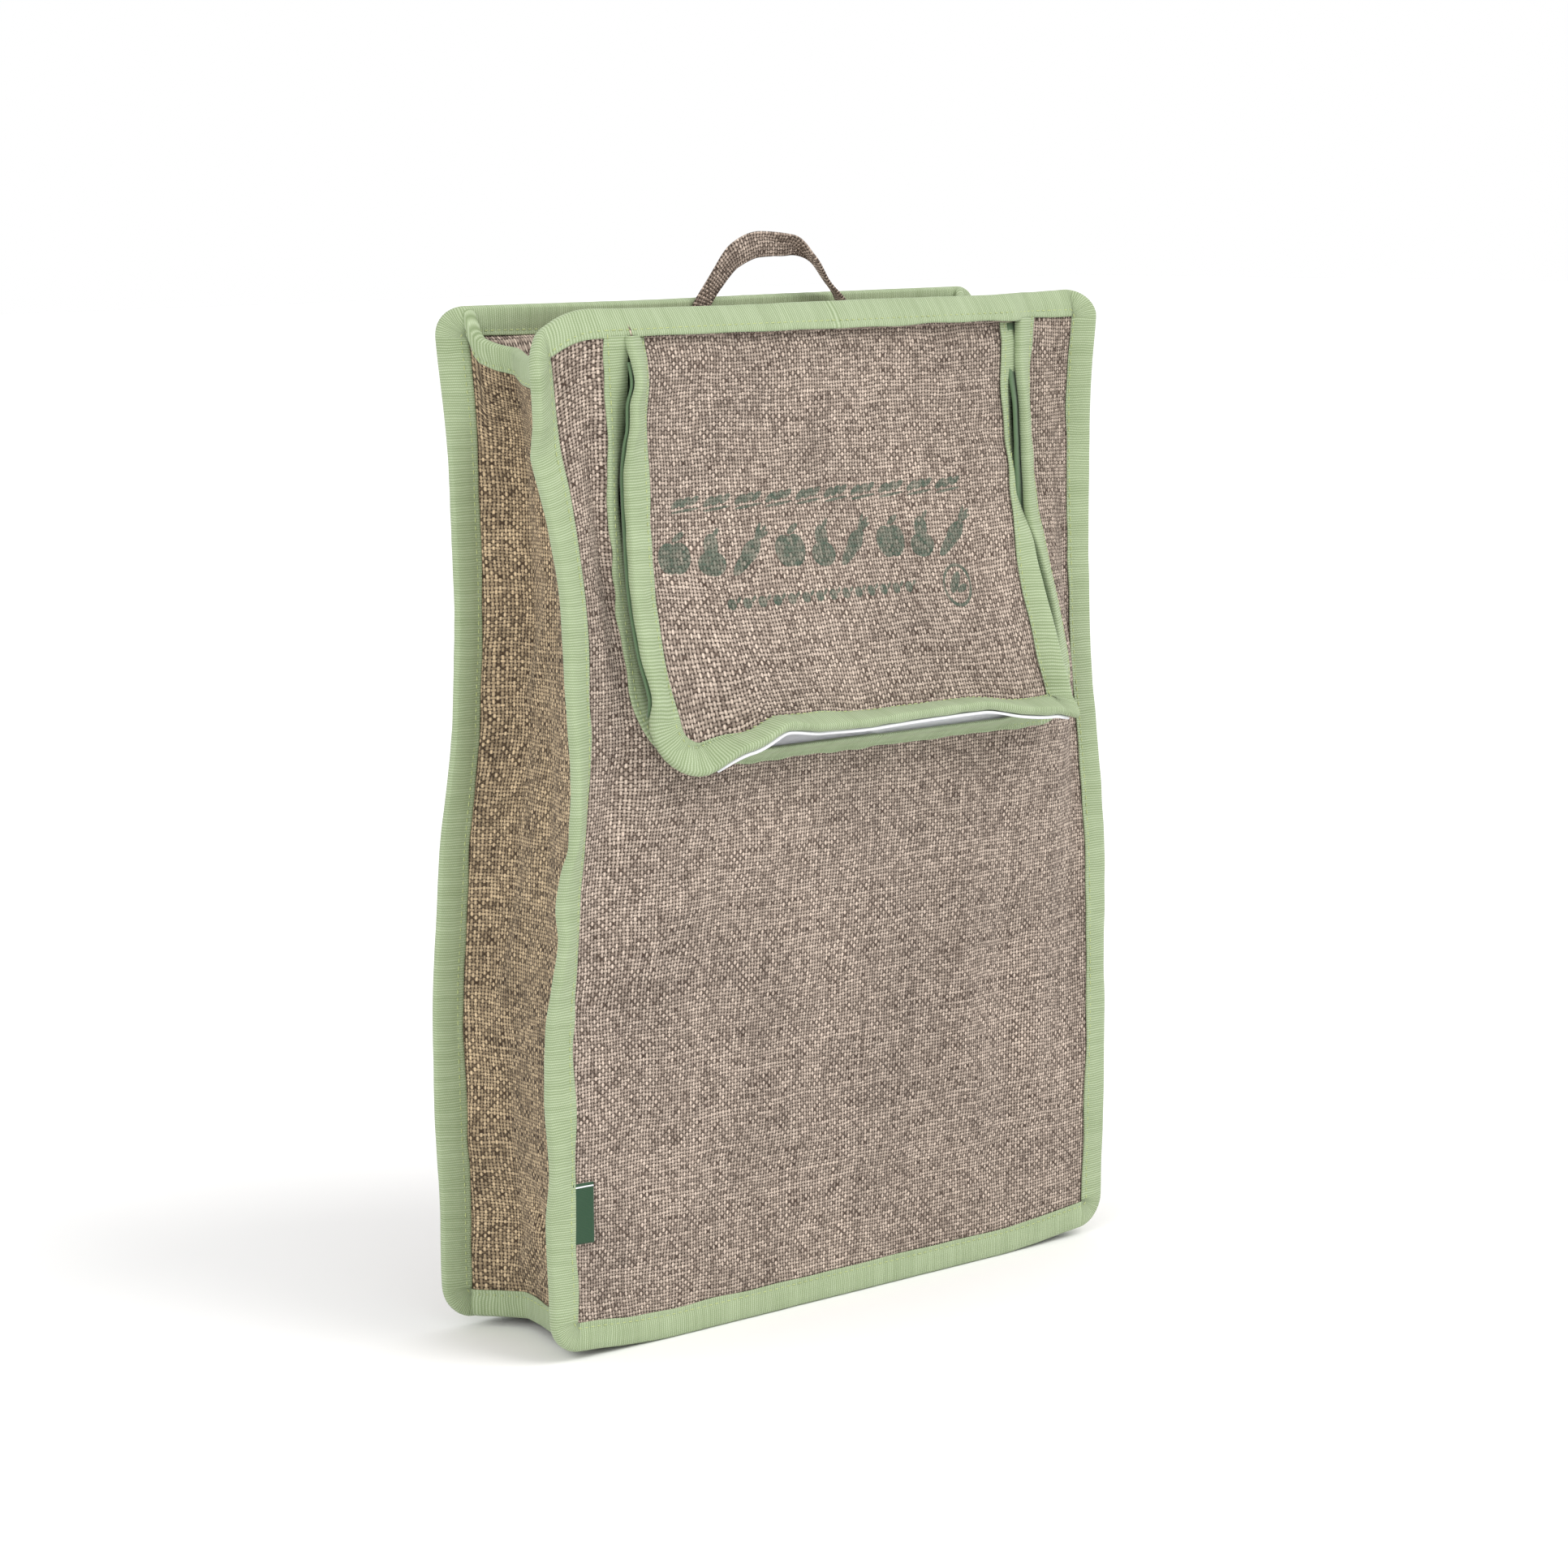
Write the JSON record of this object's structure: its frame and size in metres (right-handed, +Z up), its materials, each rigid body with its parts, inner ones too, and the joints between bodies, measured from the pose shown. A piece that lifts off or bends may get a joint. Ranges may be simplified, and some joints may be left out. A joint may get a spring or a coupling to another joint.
{
  "type": "fabric storage bag",
  "caption": "Free-standing upright fabric storage bag with gusseted sides, taped seams, a U-shaped front flap over an opening and a cloth hanging loop at the back of the top.",
  "frame": {"origin": "on the floor under the middle of the bag's bounding box", "axes": "+Z up, -Y out of the front with the flap, +X to the right as seen from the front"},
  "size_m": [0.306, 0.109, 0.4407],
  "materials": {
    "cloth": "matte burlap-look plain weave",
    "gusset_cloth": "matte burlap-look plain weave, a little warmer and darker",
    "binding_tape": "matte ribbed tape",
    "closure_strip": "matte white closure strip",
    "label": "matte woven label"
  },
  "bodies": {
    "root": {"front_panel": "cloth", "back_panel": "cloth", "left_gusset": "gusset_cloth", "right_gusset": "gusset_cloth", "top_gusset": "cloth", "bottom_gusset": "cloth", "flap": "cloth", "front_rim_binding": "binding_tape", "back_rim_binding": "binding_tape", "top_left_binding": "binding_tape", "top_right_binding": "binding_tape", "bottom_left_binding": "binding_tape", "bottom_right_binding": "binding_tape", "opening_binding": "binding_tape", "flap_binding": "binding_tape", "opening_strip_left": "closure_strip", "opening_strip_right": "closure_strip", "opening_strip_bottom": "closure_strip", "flap_strip_left": "closure_strip", "flap_strip_right": "closure_strip", "flap_strip_bottom": "closure_strip", "hanging_loop": "cloth", "side_label": "label"}
  },
  "joints": []
}
